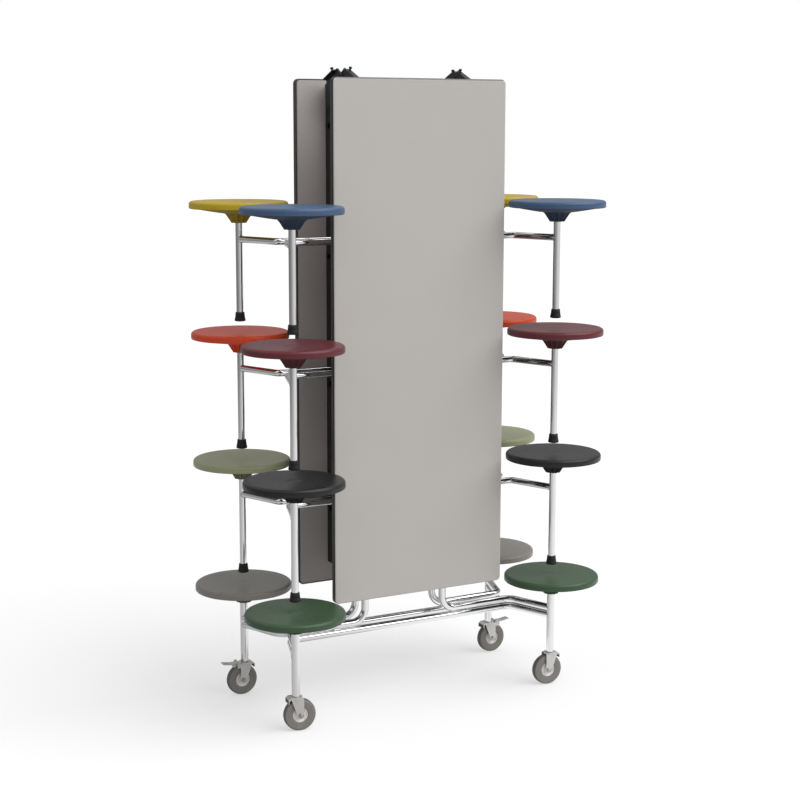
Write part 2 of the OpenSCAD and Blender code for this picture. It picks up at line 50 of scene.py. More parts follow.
camera_look = Vector((
    math.sin(camera_yaw) * math.cos(camera_pitch),
    math.cos(camera_yaw) * math.cos(camera_pitch),
    -math.sin(camera_pitch),
))
camera_over = camera_level.cross(camera_look)
camera_x = math.cos(camera_roll) * camera_level - math.sin(camera_roll) * camera_over
camera_y = math.sin(camera_roll) * camera_level + math.cos(camera_roll) * camera_over
lens = bpy.data.cameras.new("camera")
lens.lens, lens.sensor_width = 75.45, 36
camera_place = (-2.5391, -4.6138, 1.8172)
camera_turn = Matrix((camera_x, camera_y, -camera_look)).transposed().to_4x4()
camera = bpy.data.objects.new("camera", lens)
camera.matrix_world = Matrix.Translation(camera_place) @ camera_turn
bpy.context.scene.collection.objects.link(camera)
bpy.context.scene.camera = camera

# Room: a white sweep with soft light all round and one broad lamp high on the right.
# What shines mirrors a room that is darker low down, and the sweep shows it a painted pool of light that
# fades with distance and is painted darker still on the far left.


class Value:
    """A socket that can be used in a sum, which adds its Math nodes."""

    def __init__(self, paint, socket):
        self.paint, self.socket = paint, socket

    def math(self, operation, first, second):
        return self.paint.node("ShaderNodeMath", {"operation": operation}, {0: first, 1: second})

    def __add__(self, other):
        return self.math("ADD", self, other)

    __radd__ = __add__

    def __sub__(self, other):
        return self.math("SUBTRACT", self, other)

    def __rsub__(self, other):
        return self.math("SUBTRACT", other, self)

    def __mul__(self, other):
        return self.math("MULTIPLY", self, other)

    __rmul__ = __mul__


class Paint:
    """The nodes of one finish, or of the room."""

    def __init__(self, owner):
        owner.use_nodes = True
        self.tree = owner.node_tree
        self.tree.nodes.clear()

    def node(self, kind, settings=None, values=None, out=0):
        made = self.tree.nodes.new(kind)
        for name, setting in (settings or {}).items():
            if name == "stops":
                stops = made.color_ramp.elements
                while len(stops) < len(setting):
                    stops.new(1)
                for stop, (position, colour) in zip(stops, setting):
                    stop.position, stop.color = position, (*colour, 1)
            else:
                setattr(made, name, setting)
        for socket, value in (values or {}).items():
            if isinstance(value, Value):
                self.tree.links.new(value.socket, made.inputs[socket])
            else:
                made.inputs[socket].default_value = value
        return Value(self, made.outputs[out]) if made.outputs else made


bpy.context.scene.view_settings.view_transform = "Standard"
sky_strength = 0.6
white, low_grey = (1, 1, 1), (0.34, 0.34, 0.34)
room = Paint(bpy.data.worlds.new("room"))
bpy.context.scene.world = bpy.data.worlds["room"]
towards = room.node("ShaderNodeTexCoord", out="Generated")
height = room.node(
    "ShaderNodeVectorMath", {"operation": "DOT_PRODUCT"}, {0: towards, 1: (0, 0, 1)}, out="Value"
)
mirrored = room.node("ShaderNodeValToRGB", {"stops": [(0.25, low_grey), (0.75, white)]}, {0: height})
is_camera = room.node("ShaderNodeLightPath", out="Is Camera Ray")
is_glossy = room.node("ShaderNodeLightPath", out="Is Glossy Ray")
is_through = room.node("ShaderNodeLightPath", out="Is Transmission Ray")
seen = room.node("ShaderNodeBackground", {}, {"Color": (*white, 1), "Strength": 1})
lit = room.node("ShaderNodeBackground", {}, {"Color": (*white, 1), "Strength": sky_strength})
shown = room.node("ShaderNodeBackground", {}, {"Color": mirrored, "Strength": 1})
plain = room.node("ShaderNodeMixShader", {}, {0: is_camera + is_through, 1: lit, 2: seen})
room.node(
    "ShaderNodeOutputWorld", {}, {0: room.node("ShaderNodeMixShader", {}, {0: is_glossy, 1: plain, 2: shown})}
)

lamp = bpy.data.lights.new("lamp", "SUN")
lamp.energy, lamp.angle = 2.3, math.radians(62)
lamp_from = Vector((0.44, -0.5, 0.75))
lamp_stand = bpy.data.objects.new("lamp", lamp)
lamp_stand.rotation_euler = lamp_from.to_track_quat("Z", "Y").to_euler()
bpy.context.scene.collection.objects.link(lamp_stand)

sweep_reach, sweep_grey, sweep_glow, far_left = 60, (0.48, 0.48, 0.48, 1), 0.5, (-0.9, 0.43, 0)
sweep_corners = [(x * sweep_reach, y * sweep_reach, 0) for x, y in ((-1, -1), (1, -1), (1, 1), (-1, 1))]
sweep_mesh = bpy.data.meshes.new("sweep")
sweep_mesh.from_pydata(sweep_corners, [], [(0, 1, 2, 3)])
sweep_paint = Paint(bpy.data.materials.new("sweep"))
sweep_seen, sweep_shone, sweep_through = (
    sweep_paint.node("ShaderNodeLightPath", out=ray)
    for ray in ("Is Camera Ray", "Is Glossy Ray", "Is Transmission Ray")
)
sweep_where = sweep_paint.node("ShaderNodeTexCoord", out="Object")
sweep_far = sweep_paint.node("ShaderNodeVectorMath", {"operation": "LENGTH"}, {0: sweep_where}, out="Value")
sweep_way = sweep_paint.node("ShaderNodeVectorMath", {"operation": "NORMALIZE"}, {0: sweep_where})
sweep_left = sweep_paint.node(
    "ShaderNodeVectorMath", {"operation": "DOT_PRODUCT"}, {0: sweep_way, 1: far_left}, out="Value"
)
# Painted light on the sweep, seen only in reflections: a pool that fades with distance and grows dimmer to
# the far left.
painted_pool, painted_left_dimming, painted_far_dimming, aside = (
    sweep_paint.node("ShaderNodeMapRange", {}, {"Value": reach, 1: low, 2: high, 3: near, 4: far})
    for reach, low, high, near, far in (
        (sweep_far, 1.5, 9, 1, 0.74), (sweep_left, -1, 1, 1.2, 0.58),
        (sweep_far, 3, 8, 0, 0.46), (sweep_left, -0.5, 0.9, 0, 1),
    )
)
sweep_lit = sweep_paint.node("ShaderNodeAddShader", {}, {
    0: sweep_paint.node("ShaderNodeBsdfDiffuse", {}, {"Color": sweep_grey}),
    1: sweep_paint.node("ShaderNodeEmission", {}, {
        "Color": (*white, 1), "Strength": (sweep_seen + sweep_through) * sweep_glow,
    }),
})
sweep_painted_pool = sweep_paint.node("ShaderNodeEmission", {}, {
    "Color": (*white, 1), "Strength": painted_pool * painted_left_dimming * (1 - painted_far_dimming * aside),
})
sweep_paint.node("ShaderNodeOutputMaterial", {}, {
    "Surface": sweep_paint.node("ShaderNodeMixShader", {}, {0: sweep_shone, 1: sweep_lit, 2: sweep_painted_pool}),
})
sweep_mesh.materials.append(bpy.data.materials["sweep"])
sweep = bpy.data.objects.new("sweep", sweep_mesh)
bpy.context.scene.collection.objects.link(sweep)

# Table tops: particle board with a flat stone-grey laminate on the outer side, its moulded
# edge painted a shade lighter as a highlight and painted dark along the top as shade, and a balancing sheet
# underneath painted darker as shade.
mm, metre, same_place, soft_crease = 0.001, 1000, 2e-6, 35


class Shape:
    """The points and faces of one piece, put together ring by ring."""

    def __init__(self):
        self.points, self.faces, self.paints = [], [], []

    def face(self, corners, paint):
        self.faces.append(tuple(corners))
        self.paints.append(paint)

    def skin(self, rings, paint=0, ends=(0, 0), again=False):
        """Faces between rings of points, closed by caps or, again, by the first ring."""
        count, first = len(rings[0]), len(self.points)
        for ring in rings:
            self.points.extend(Vector(point) for point in ring)
        for i in range(len(rings) if again else len(rings) - 1):
            low, high = first + i * count, first + (i + 1) % len(rings) * count
            for j in range(count):
                k = (j + 1) % count
                colour = paint[i] if isinstance(paint, list) else paint
                self.face((low + j, low + k, high + k, high + j), colour)
        if not again:
            self.face(range(first + count - 1, first - 1, -1), ends[0])
            self.face(range(len(self.points) - count, len(self.points)), ends[1])


def mirrored_to(shape, side, wing="right"):
    """Turns a shape drawn for the rear right quarter to another one."""
    for point in shape.points:
        point.x *= -1 if wing == "left" else 1
        point.y *= -1 if side == "front" else 1
    return shape


def hang(name, mesh, body, replaced, crease, bevel):
    """Makes the object of a mesh, eases its edges and hangs it on its body."""
    mesh.shade_smooth()
    mesh.set_sharp_from_angle(angle=math.radians(crease))
    made = bpy.data.objects.new(name, mesh)
    bpy.context.scene.collection.objects.link(made)
    if bevel:
        rounded = made.modifiers.new("rounded", "BEVEL")
        rounded.width, rounded.segments, rounded.limit_method = bevel * mm, 2, "ANGLE"
        rounded.angle_limit, rounded.harden_normals = math.radians(crease), True
    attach(made, body)
    if replaced:
        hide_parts(*replaced)


def add_piece(name, shape, body, finishes, replaced=(), crease=soft_crease, bevel=0):
    """Adds a drawn piece, which stands for these nodes if it replaces some."""
    mesh = bpy.data.meshes.new(name)
    mesh.from_pydata([point * mm for point in shape.points], [], shape.faces)
    for finish in finishes:
        mesh.materials.append(finish)
    mesh.polygons.foreach_set("material_index", shape.paints)
    work = bmesh.new()
    work.from_mesh(mesh)
    bmesh.ops.remove_doubles(work, verts=work.verts, dist=same_place)
    bmesh.ops.recalc_face_normals(work, faces=work.faces)
    work.to_mesh(mesh)
    work.free()
    hang(name, mesh, body, replaced, crease, bevel)


def srgb(red, green, blue):
    """A colour as it is read off a picture, for a shader."""
    return tuple(
        part / 12.92 if part <= 0.04045 else ((part + 0.055) / 1.055) ** 2.4
        for part in (red / 255, green / 255, blue / 255)
    ) + (1,)


def grain(paint, size, detail, rough=0.5):
    """Cloudy pattern whose lumps are about this many millimetres across."""
    where = paint.node("ShaderNodeTexCoord", out="Object")
    values = {"Vector": where, "Scale": metre / size, "Detail": detail, "Roughness": rough}
    return paint.node("ShaderNodeTexNoise", {}, values)


def mixed(paint, share, first, second):
    """A colour between two others."""
    return paint.node("ShaderNodeMix", {"data_type": "RGBA"}, {0: share, 6: first, 7: second}, out=2)


def finish_of(paint, values, height, depth, strength):
    """Closes a finish: its shader, with a bump whose depth is in millimetres."""
    values["Normal"] = paint.node(
        "ShaderNodeBump", {}, {"Strength": strength, "Distance": depth * mm, "Height": height}
    )
    shader = paint.node("ShaderNodeBsdfPrincipled", {}, values)
    paint.node("ShaderNodeOutputMaterial", {}, {"Surface": shader})


def laminate_finish(name, light, dark, roughness):
    """Pressed laminate: faint clouds, a fine stipple and a slight wear of the gloss."""
    made = bpy.data.materials.new(name)
    paint = Paint(made)
    clouds, stipple, wear = grain(paint, 160, 3), grain(paint, 1.1, 1), grain(paint, 45, 4, 0.6)
    share = clouds * 0.55 + stipple * 0.45
    finish_of(paint, {
        "Base Color": mixed(paint, share, srgb(*light), srgb(*dark)),
        "Roughness": roughness + (wear - 0.5) * 0.16,
    }, stipple, 0.03, 0.25)
    return made


laminate = laminate_finish("laminate", (190, 186, 182), (182, 178, 174), 0.42)
# The moulded edge is painted lighter than the face, as a painted highlight.
laminate_edge_painted_highlight = laminate_finish("laminate_edge_painted_highlight", (196, 192, 188), (188, 184, 180), 0.4)
# Painted shade along the top of the moulded edge.
laminate_top_painted_shade = laminate_finish("laminate_top_painted_shade", (118, 115, 113), (110, 107, 105), 0.5)
# The balancing sheet is painted darker than the laminate, as painted shade between the halves.
balancing_sheet_painted_shade = laminate_finish("balancing_sheet_painted_shade", (170, 163, 160), (156, 150, 147), 0.5)

table_h, pitch = 646, 404
pivot_z = table_h - 42
top_w, top_z, bottom_z, corner_r = 600, pivot_z + 3 * pitch + 142, pivot_z - 246, 15


def top_ring(inset, y, steps=10):
    """Points round a table top, this far inside its outline, at a depth Y."""
    r, right, low, high = max(corner_r - inset, 2), top_w / 2 - inset, bottom_z + inset, top_z - inset
    ring = []
    for number, (x, z) in enumerate([(right, high), (-right, high), (-right, low), (right, low)]):
        centre = (x - math.copysign(r, x), z - r if z == high else z + r)
        for i in range(steps + 1):
            turn = math.radians(90 * (number + i / steps))
            ring.append((centre[0] + r * math.cos(turn), y, centre[1] + r * math.sin(turn)))
    return ring


board_rings = [
    (6, 140), (4.6, 139.9), (3, 139.5), (1.8, 138.8), (1.1, 137.9), (0.9, 137),
    (4.1, 136.9), (4.1, 118.6), (4.7, 118),
]
# Paint numbers: the painted-highlight edge, the sheet painted darker as shade, and the painted shade along
# the top, which reaches this far down.
moulded, sheet, painted_shade_top, painted_shade_top_drop = 1, 2, 3, 5
board_paints = [moulded] * 5 + [sheet] * 3
for side in ("front", "rear"):
    board = Shape()
    board.skin([top_ring(inset, y) for inset, y in board_rings], board_paints, ends=(0, sheet))
    # Faces of the edge near the top get the painted shade.
    for number, face in enumerate(board.faces):
        low = min(board.points[corner].z for corner in face)
        if board.paints[number] == moulded and low > top_z - painted_shade_top_drop:
            board.paints[number] = painted_shade_top
    add_piece(
        f"{side}_top", mirrored_to(board, side), f"{side}_half",
        [laminate, laminate_edge_painted_highlight, balancing_sheet_painted_shade, laminate_top_painted_shade],
        [f"{side}_tabletop"], crease=50,
    )

# Edge bands: a soft black extrusion pressed into a groove all round each top. Its thin
# front bead and groove are painted blacker than the broad grey-black flat behind it, as painted shadow in the
# recess.


def rubber_finish(name, light, dark, roughness, lump=2.5, depth=0.05):
    """Moulded rubber: an uneven bloom and a fine skin."""
    made = bpy.data.materials.new(name)
    paint = Paint(made)
    bloom, skin = grain(paint, 30, 4, 0.65), grain(paint, lump, 2)
    finish_of(paint, {
        "Base Color": mixed(paint, bloom, srgb(*light), srgb(*dark)),
        "Roughness": roughness + (bloom - 0.5) * 0.2,
    }, skin, depth, 0.3)
    return made


edge_rubber = rubber_finish("edge_rubber", (68, 67, 66), (50, 49, 48), 0.55)
# Painted shadow for the bead and its groove.
bead_painted_shadow = rubber_finish("bead_painted_shadow", (13, 13, 13), (8, 8, 8), 0.5)
band_profile = [
    (4.0, 136.8), (0.9, 136.8), (0.25, 136.2), (0.1, 134.8), (0.3, 133.2), (1.1, 132.6),
    (1.1, 132.0), (0.3, 131.6), (0.0, 130.8), (0.0, 119.4), (0.3, 118.6), (1.0, 118.2), (4.0, 118.2),
]
band_paints = [1] * 7 + [0] * 6
for side in ("front", "rear"):
    band = Shape()
    band.skin([top_ring(inset, y) for inset, y in band_profile], band_paints, again=True)
    add_piece(
        f"{side}_band", mirrored_to(band, side), f"{side}_half", [edge_rubber, bead_painted_shadow],
        [f"{side}_edge_band"], crease=40,
    )

# Rails: rolled black channels, one pair under each top, open towards the middle. They
# keep the solid's form with their corners eased, and pan-head screws hold them.


def eased_copy(node, name, body, finishes, bevel, dark_if=None):
    """Stands for a solid with the same form and eased edges; dark_if picks second-finish faces."""
    mesh = frame["nodes"][node].data.copy()
    mesh.materials.clear()
    for finish in finishes:
        mesh.materials.append(finish)
    work = bmesh.new()
    work.from_mesh(mesh)
    bmesh.ops.remove_doubles(work, verts=work.verts, dist=same_place)
    bmesh.ops.dissolve_limit(work, angle_limit=math.radians(1), verts=work.verts, edges=work.edges)
    for face in work.faces:
        face.material_index = int(dark_if is not None and dark_if(face.calc_center_median() * metre))
    work.to_mesh(mesh)
    work.free()
    hang(name, mesh, body, [node], soft_crease, bevel)


def coated_finish(name, light, dark, roughness):
    """Powder-coated steel: a slight orange peel and a patchy gloss."""
    made = bpy.data.materials.new(name)
    paint = Paint(made)
    patches, peel = grain(paint, 40, 4, 0.6), grain(paint, 1.4, 1)
    finish_of(paint, {
        "Base Color": mixed(paint, patches, srgb(*light), srgb(*dark)),
        "Roughness": roughness + (patches - 0.5) * 0.18,
    }, peel, 0.06, 0.35)
    return made


def metal_finish(name, light, dark, roughness, spread, lump=14, metallic=1.0):
    """Bare or plated metal: light clouds in its colour and its gloss."""
    made = bpy.data.materials.new(name)
    paint = Paint(made)
    clouds, specks = grain(paint, lump, 4, 0.6), grain(paint, 0.8, 1)
    finish_of(paint, {
        "Base Color": mixed(paint, clouds, srgb(*light), srgb(*dark)), "Metallic": metallic,
        "Roughness": roughness + (clouds * 0.7 + specks * 0.3 - 0.5) * spread,
    }, specks, 0.01, 0.1)
    return made


least_r = 0.001


def turns_round(count):
    """Angles spread evenly round a circle."""
    return [2 * math.pi * i / count for i in range(count)]


def turned_ring(centre, axis, across, r, around):
    """Points of a circle round an axis."""
    up = axis.cross(across)
    return [centre + r * (math.cos(turn) * across + math.sin(turn) * up) for turn in turns_round(around)]


def turned(shape, centre, axis, profile, around):
    """Adds a turned form: its profile is (radius, height along the axis)."""
    axis = Vector(axis).normalized()
    across = axis.orthogonal().normalized()
    shape.skin([
        turned_ring(Vector(centre) + axis * h, axis, across, max(r, least_r), around) for r, h in profile
    ])


black_steel = coated_finish("black_steel", (33, 33, 34), (22, 22, 23), 0.5)
zinc = metal_finish("zinc", (178, 178, 174), (150, 151, 148), 0.34, 0.25)
rail_x, rail_web_y, screw_rise, screw_pitch = 178, 115, 106, 282
screw_profile = [(4.8, 0), (4.8, -0.6), (4.3, -1.7), (3, -2.5), (1.8, -2.7), (1.6, -1.6), (0, -1.5)]
for side in ("front", "rear"):
    eased_copy(f"{side}_rails", f"{side}_rail_pair", f"{side}_half", [black_steel], 1.2)
    screws = Shape()
    for wing in (-1, 1):
        for number in range(6):
            place = (wing * rail_x, rail_web_y, bottom_z + screw_rise + screw_pitch * number)
            turned(screws, place, (0, 1, 0), screw_profile, 16)
    add_piece(f"{side}_rail_screws", mirrored_to(screws, side), f"{side}_half", [zinc], crease=40)

# Centre hinge: black plates with a folded slope stand on the rails' outer sides and turn
# on one riveted pin each side. Hexagon bolts on the slopes set where the tops stop.
for side in ("front", "rear"):
    half = f"{side}_half"
    eased_copy(f"{side}_hinge_plates", f"{side}_hinge_brackets", half, [black_steel], 0.7)
bolt_black = metal_finish("bolt_black", (52, 52, 53), (36, 36, 37), 0.38, 0.2)
for side in ("front", "rear"):
    eased_copy(f"{side}_stop_bolts", f"{side}_stops", f"{side}_half", [bolt_black], 0.5)
eased_copy("hinge_pins", "hinge_rivets", "front_half", [bolt_black], 0.8)

# Stool pivots and links: dark bolts through the rails, and flat bars riveted to the lugs
# of the four stool frames of a half, which keep the stools upright as the table folds.
link_steel = metal_finish("link_steel", (150, 151, 150), (120, 121, 121), 0.36, 0.22)
for side in ("front", "rear"):
    eased_copy(f"{side}_pivot_bolts", f"{side}_pivots", f"{side}_half", [bolt_black], 0.6)
    eased_copy(f"{side}_link_bars", f"{side}_parallel_bars", f"{side}_links", [link_steel], 0.8)

# Stool frames: bright chromed tube. A plain frame is one cross tube with a leg at each end;
# the caster frame stacks two, and its upper one turns up into the uprights. All is welded.
chrome = metal_finish("chrome", (222, 222, 223), (214, 214, 216), 0.07, 0.05, lump=60)
weld_metal = metal_finish("weld_metal", (205, 204, 203), (176, 176, 175), 0.2, 0.2, lump=4)
plug_plastic = rubber_finish("plug_plastic", (34, 34, 35), (26, 26, 27), 0.5)
leg_x, leg_y, arm_x, arm_y, arm_z = 462, 193, 405, 34, table_h - 390
upright_x, upright_top, pivot_y, link_y, link_z = 142, table_h - 24, 98, 65, pivot_z - 60
seat_z, tube_ease = table_h - 272, 0.8
leg_top = seat_z - 17.5
head_low, head_high, head_r, head_drop = 152.5, 157.5, 14, 46.7
lug_low, lug_high, lug_r = 124.5, 130.5, 10
upright_bend_r, stack, seam_y, seam_starts = 44, 24, 6.5, (230, 372)
seam_beads = [0.8, 1.9, 2.4, 2.1, 2.5, 2.1, 2.5, 2.1, 2.4, 1.9, 0.8]
head_seams = [(153.1, 6.6), (155.6, -1.2)]
head_beads = [0.7] + [1.6 + 0.3 * (i % 2) for i in range(11)] + [0.7]
welded, plugged = 1, 2


def bent_path(corners, radii, steps=12):
    """A line through corners, each rounded to its radius."""
    corners = [Vector(corner) for corner in corners]
    path = [corners[0]]
    for before, corner, after, r in zip(corners, corners[1:], corners[2:], radii):
        back, on = (before - corner).normalized(), (after - corner).normalized()
        half = back.angle(on) / 2
        centre = corner + (back + on).normalized() * (r / math.sin(half))
        start, end = (corner + way * (r / math.tan(half)) - centre for way in (back, on))
        turn, axis = start.angle(end), start.cross(end)
        path.extend(centre + Matrix.Rotation(turn * i / steps, 3, axis) @ start for i in range(steps + 1))
    return path + [corners[-1]]


def tube(shape, path, r, around=32, paint=0, ends=(0, 0), loop=False):
    """Sweeps a round section along a path; r is one radius or one for each point."""
    path = [Vector(point) for point in path]
    across, rings = None, []
    for i, point in enumerate(path):
        if loop:
            along = path[(i + 1) % len(path)] - path[i - 1]
        else:
            along = path[min(i + 1, len(path) - 1)] - path[max(i - 1, 0)]
        along.normalize()
        across = along.orthogonal() if across is None else across - along * across.dot(along)
        across.normalize()
        rings.append(turned_ring(point, along, across, r[i] if isinstance(r, list) else r, around))
    shape.skin(rings, paint, ends, again=loop)


def weld_round(shape, centre, axis, inner_r, outer_r, bead=1.2, steps=44):
    """A bead where a tube along an axis meets an upright tube at a centre."""
    axis = Vector(axis).normalized()
    across = axis.cross(Vector((0, 0, 1)))
    path = []
    for turn in turns_round(steps):
        side_step, rise = inner_r * math.cos(turn), inner_r * math.sin(turn)
        out = math.sqrt(max(outer_r ** 2 - side_step ** 2, 0))
        path.append(Vector(centre) + axis * out + across * side_step + Vector((0, 0, rise)))
    tube(shape, path, [bead * (1 + 0.12 * (i % 2)) for i in range(steps)], 10, paint=welded, loop=True)


def plate(shape, outline, low_x, high_x):
    """Extrudes an outline of (Y, Z) points along X."""
    shape.skin([[(x, y, z) for y, z in outline] for x in (low_x, high_x)])


def part_circle(centre, r, start, end, steps=12):
    """Points of an arc in a plane, from one angle to another."""
    turns = [math.radians(start + (end - start) * i / steps) for i in range(steps + 1)]
    return [(centre[0] + r * math.cos(turn), centre[1] + r * math.sin(turn)) for turn in turns]


def flipped(shape, first):
    """Adds the left-hand twin of what was drawn after a point number."""
    points = [Vector((-point.x, point.y, point.z)) for point in shape.points[first:]]
    shift = len(shape.points) - first
    faces = [(face, paint) for face, paint in zip(shape.faces, shape.paints) if min(face) >= first]
    shape.points.extend(points)
    for face, paint in faces:
        shape.face([corner + shift for corner in face], paint)


def raised(shape, level):
    """Lifts what was drawn for the lowest stools to another level."""
    for point in shape.points:
        point.z += pitch * (level - 1)
    return shape


def frame_body(side, level):
    """The body of a stool frame; the lowest one of each half stands on the casters."""
    return f"{side}_caster_frame" if level == 1 else f"{side}_stools_{level}"


def upper_cross_tube(shape, inwards, leg_r, arm_r, bend_r):
    """A caster frame's upper tube, bent up into the upright and seamed to the lower tube."""
    corners = [
        (leg_x, leg_y, arm_z), (arm_x, arm_y, arm_z), (upright_x, arm_y, arm_z),
        (upright_x, arm_y, upright_top - tube_ease),
    ]
    path = bent_path(corners, (bend_r, upright_bend_r)) + [(upright_x, arm_y, upright_top)]
    tube(shape, path, [arm_r] * (len(path) - 1) + [arm_r - tube_ease], ends=(0, plugged))
    weld_round(shape, (leg_x, leg_y, arm_z), inwards, arm_r, leg_r)
    for x in seam_starts:
        for y in (arm_y - seam_y, arm_y + seam_y):
            seam = [(x + 3 * i, y, arm_z - stack / 2) for i in range(len(seam_beads))]
            tube(shape, seam, seam_beads, 10, paint=welded, ends=(welded, welded))


def plain_upright(shape, arm_r):
    """A plain frame's upright, cut to sit on the cross tube and welded round there."""
    up_r, cap_share, saddle_share = 12.45, 0.94, 1.03
    rim, edge, cap, saddle = [], [], [], []
    for turn in turns_round(48):
        x, y = up_r * math.cos(turn), up_r * math.sin(turn)
        top_of_arm = arm_z + math.sqrt(max(arm_r ** 2 - y ** 2, 0))
        rim.append((upright_x + x, arm_y + y, top_of_arm - 1))
        edge.append((upright_x + x, arm_y + y, upright_top - tube_ease))
        cap.append((upright_x + cap_share * x, arm_y + cap_share * y, upright_top))
        saddle.append((upright_x + saddle_share * x, arm_y + saddle_share * y, top_of_arm))
    shape.skin([rim, edge, cap], 0, ends=(0, plugged))
    tube(shape, saddle, 1.3, 10, paint=welded, loop=True)


def head_and_lug(shape):
    """The upright's plates for the pivot bolt and for the link bars, and the head's welds."""
    head = [(arm_y, upright_top - head_drop)] + part_circle((pivot_y, pivot_z), head_r, -90, 90)
    plate(shape, head + [(arm_y, upright_top)], head_low, head_high)
    lug = [(arm_y, link_z - lug_r)] + part_circle((link_y, link_z), lug_r, -90, 90)
    plate(shape, lug + [(arm_y, link_z + lug_r)], lug_low, lug_high)
    for x, y in head_seams:
        seam = [(x, arm_y + y, upright_top - 42 + 38 * i / 12) for i in range(len(head_beads))]
        tube(shape, seam, head_beads, 10, paint=welded, ends=(welded, welded))


def stool_frame(level):
    """A frame for the rear half: cross tubes, legs, uprights, plates and welds."""
    shape = Shape()
    inwards = Vector((arm_x - leg_x, arm_y - leg_y, 0))
    leg_r, arm_r, bend_r = (12.5, 12.25, 45) if level == 1 else (11, 10.65, 16)
    foot_z, arm_low = (108, arm_z - stack) if level == 1 else (8, arm_z)
    cross = [(x, y, arm_low) for x, y in ((-leg_x, leg_y), (-arm_x, arm_y), (arm_x, arm_y), (leg_x, leg_y))]
    tube(shape, bent_path(cross, (bend_r, bend_r)), arm_r)
    first = len(shape.points)
    leg = [(leg_x, leg_y, z) for z in (foot_z, foot_z + 0.7, arm_z, leg_top)]
    tube(shape, leg, [leg_r - tube_ease, leg_r, leg_r, leg_r])
    weld_round(shape, (leg_x, leg_y, arm_low), inwards, arm_r, leg_r)
    if level == 1:
        upper_cross_tube(shape, inwards, leg_r, arm_r, bend_r)
    else:
        plain_upright(shape, arm_r)
    head_and_lug(shape)
    flipped(shape, first)
    return raised(shape, level)


for side in ("front", "rear"):
    for level in (1, 2, 3, 4):
        add_piece(
            f"{side}_tubes_{level}", mirrored_to(stool_frame(level), side), frame_body(side, level),
            [chrome, weld_metal, plug_plastic], [f"{side}_frame_{level}"], bevel=0.4,
        )

# Seats: moulded satin plastic discs with a shallow dish, a rolled rim and a flared hub
# underneath, stiffened by twelve soft ribs, that is driven onto the top of the leg.


def plastic_finish(name, colour, gloss=0.36):
    """Moulded plastic: an even colour, fine graining, and a gloss dulled by use."""
    made = bpy.data.materials.new(name)
    paint = Paint(made)
    clouds, skin, scuffs = grain(paint, 70, 3), grain(paint, 0.9, 2, 0.6), grain(paint, 9, 6, 0.7)
    darker = tuple(part * 0.92 for part in colour)
    paler = tuple(min(part * 1.05 + 2, 255) for part in colour)
    finish_of(paint, {
        "Base Color": mixed(paint, clouds * 0.6 + scuffs * 0.4, srgb(*darker), srgb(*paler)),
        "Roughness": gloss + (scuffs - 0.5) * 0.24 + (skin - 0.5) * 0.12, "Specular IOR Level": 0.3,
    }, skin, 0.04, 0.3)
    return made


seat_slots = {
    "front": ["green", "charcoal", "maroon", "blue"], "rear": ["taupe", "olive", "orange", "mustard"],
}
seat_colours = {
    "green": (58, 83, 58), "charcoal": (30, 30, 31), "maroon": (98, 40, 47), "blue": (66, 90, 122),
    "taupe": (130, 126, 121), "olive": (146, 150, 118), "orange": (204, 66, 30), "mustard": (184, 158, 30),
}
# Each seat's underside gets a darker copy of its colour, as painted shade under the seat.
painted_underside_shade = {"blue": 0.64, "orange": 1}
seat_finishes = {
    name: [
        plastic_finish(f"seat_{name}", colour),
        plastic_finish(f"seat_{name}_below", [part * painted_underside_shade.get(name, 0.78) for part in colour], 0.7),
    ]
    for name, colour in seat_colours.items()
}
seat_r, hub_h, seat_points = 153.4, 67.5, 120
rib_shape = [1, 0.5, 0.08, 0, 0, 0, 0, 0, 0.08, 0.5]


def seat_rows():
    """Rings of a seat as (radius, height, how far its ribs stand out), from the top middle."""
    rows = [(0, -4.3, 0), (9, -4.25, 0), (14, -4.1, 0), (17, -3.8, 0), (19.4, -3.4, 0), (22, -3.1, 0)]
    for i in range(1, 9):
        share = i / 8
        rows.append((22 + (seat_r - 42) * share, -1.5 * (1 + math.cos(math.pi * share)), 0))
    rows += [(seat_r - 10 + x, -10 + z, 0) for x, z in part_circle((0, 0), 10, 90, 0, 7)]
    rows += [(seat_r - 3 + x, -20 + z, 0) for x, z in part_circle((0, 0), 3, 0, -90, 3)]
    rows += [(146, -22.8, 0), (144.5, -21.4, 0), (143, -22, 0)]
    rows += [(120, -26.6, 0), (90, -31.8, 0), (62, -36.2, 0)]
    for i in range(10):
        share = i / 9
        core = 18.5 + 21 * (1 - share) ** 1.3
        rib = 23.4 + 18.6 * (1 - share) + 3 * (1 - share) ** 8
        rows.append((core, -38.4 - (hub_h - 38.4) * share, max(rib - core, 0)))
    rows += [(18.4, -hub_h, 3.6), (14.5, -hub_h, 0), (12.7, -hub_h + 0.8, 0), (12.7, -hub_h + 4, 0)]
    return rows


def seat_shape():
    """A seat for the rear right leg of the lowest level."""
    shape, rings, rows = Shape(), [], seat_rows()
    for r, z, rib in rows:
        ring = []
        for i, turn in enumerate(turns_round(seat_points)):
            reach = max(r, least_r) + rib * rib_shape[i % len(rib_shape)]
            ring.append((leg_x + reach * math.cos(turn), leg_y + reach * math.sin(turn), seat_z + z))
        rings.append(ring)
    shape.skin(rings, [int(z < -22) for _, z, _ in rows[1:]], ends=(0, 1))
    return shape


for side in ("front", "rear"):
    for level, colour in enumerate(seat_slots[side], 1):
        for wing in ("left", "right"):
            seat = mirrored_to(raised(seat_shape(), level), side, wing)
            add_piece(
                f"{side}_{wing}_stool_seat_{level}", seat, frame_body(side, level), seat_finishes[colour],
                [f"{side}_{wing}_seat_{level}"], crease=55,
            )

